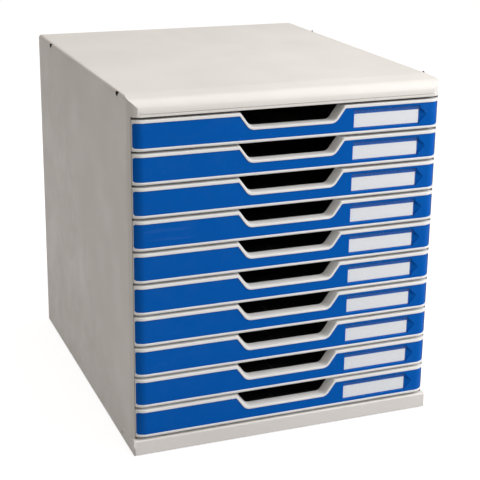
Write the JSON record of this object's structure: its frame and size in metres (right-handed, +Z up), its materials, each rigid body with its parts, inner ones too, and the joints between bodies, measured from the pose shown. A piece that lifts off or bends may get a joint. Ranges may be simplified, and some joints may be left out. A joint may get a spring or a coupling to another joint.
{
  "type": "desktop drawer cabinet",
  "caption": "Closed desktop cabinet for papers, with a stack of shallow sliding drawers that have coloured fronts, scooped finger pulls and label holders.",
  "frame": {"origin": "under the middle of the cabinet, on the surface it stands on", "axes": "+X to the right and +Y to the back as seen from the drawer fronts, +Z up"},
  "size_m": [0.288, 0.339, 0.32],
  "materials": {
    "casing_grey": "fine matt",
    "back_grey": "fine matt",
    "front_grey": "fine matt",
    "front_blue": "satin",
    "tray_dark": "fine matt",
    "label_paper": "uncoated",
    "window_clear": "clear",
    "foot_rubber": "matt"
  },
  "bodies": {
    "casing": {"left_side_panel": "casing_grey", "right_side_panel": "casing_grey", "top_cover": "casing_grey", "base": "casing_grey", "back_panel": "back_grey", "feet": "foot_rubber"},
    "drawer_01": {"drawer_01_tray": "tray_dark", "drawer_01_front_frame": "front_grey", "drawer_01_front_insert": "front_blue", "drawer_01_label_card": "label_paper", "drawer_01_label_window": "window_clear"},
    "drawer_02": {"drawer_02_tray": "tray_dark", "drawer_02_front_frame": "front_grey", "drawer_02_front_insert": "front_blue", "drawer_02_label_card": "label_paper", "drawer_02_label_window": "window_clear"},
    "drawer_03": {"drawer_03_tray": "tray_dark", "drawer_03_front_frame": "front_grey", "drawer_03_front_insert": "front_blue", "drawer_03_label_card": "label_paper", "drawer_03_label_window": "window_clear"},
    "drawer_04": {"drawer_04_tray": "tray_dark", "drawer_04_front_frame": "front_grey", "drawer_04_front_insert": "front_blue", "drawer_04_label_card": "label_paper", "drawer_04_label_window": "window_clear"},
    "drawer_05": {"drawer_05_tray": "tray_dark", "drawer_05_front_frame": "front_grey", "drawer_05_front_insert": "front_blue", "drawer_05_label_card": "label_paper", "drawer_05_label_window": "window_clear"},
    "drawer_06": {"drawer_06_tray": "tray_dark", "drawer_06_front_frame": "front_grey", "drawer_06_front_insert": "front_blue", "drawer_06_label_card": "label_paper", "drawer_06_label_window": "window_clear"},
    "drawer_07": {"drawer_07_tray": "tray_dark", "drawer_07_front_frame": "front_grey", "drawer_07_front_insert": "front_blue", "drawer_07_label_card": "label_paper", "drawer_07_label_window": "window_clear"},
    "drawer_08": {"drawer_08_tray": "tray_dark", "drawer_08_front_frame": "front_grey", "drawer_08_front_insert": "front_blue", "drawer_08_label_card": "label_paper", "drawer_08_label_window": "window_clear"},
    "drawer_09": {"drawer_09_tray": "tray_dark", "drawer_09_front_frame": "front_grey", "drawer_09_front_insert": "front_blue", "drawer_09_label_card": "label_paper", "drawer_09_label_window": "window_clear"},
    "drawer_10": {"drawer_10_tray": "tray_dark", "drawer_10_front_frame": "front_grey", "drawer_10_front_insert": "front_blue", "drawer_10_label_card": "label_paper", "drawer_10_label_window": "window_clear"}
  },
  "joints": [
    {"name": "drawer_01_slide", "type": "slide", "parent": "casing", "child": "drawer_01", "axis": [0, -1, 0], "range_m": [0, 0.235]},
    {"name": "drawer_02_slide", "type": "slide", "parent": "casing", "child": "drawer_02", "axis": [0, -1, 0], "range_m": [0, 0.235]},
    {"name": "drawer_03_slide", "type": "slide", "parent": "casing", "child": "drawer_03", "axis": [0, -1, 0], "range_m": [0, 0.235]},
    {"name": "drawer_04_slide", "type": "slide", "parent": "casing", "child": "drawer_04", "axis": [0, -1, 0], "range_m": [0, 0.235]},
    {"name": "drawer_05_slide", "type": "slide", "parent": "casing", "child": "drawer_05", "axis": [0, -1, 0], "range_m": [0, 0.235]},
    {"name": "drawer_06_slide", "type": "slide", "parent": "casing", "child": "drawer_06", "axis": [0, -1, 0], "range_m": [0, 0.235]},
    {"name": "drawer_07_slide", "type": "slide", "parent": "casing", "child": "drawer_07", "axis": [0, -1, 0], "range_m": [0, 0.235]},
    {"name": "drawer_08_slide", "type": "slide", "parent": "casing", "child": "drawer_08", "axis": [0, -1, 0], "range_m": [0, 0.235]},
    {"name": "drawer_09_slide", "type": "slide", "parent": "casing", "child": "drawer_09", "axis": [0, -1, 0], "range_m": [0, 0.235]},
    {"name": "drawer_10_slide", "type": "slide", "parent": "casing", "child": "drawer_10", "axis": [0, -1, 0], "range_m": [0, 0.235]}
  ]
}
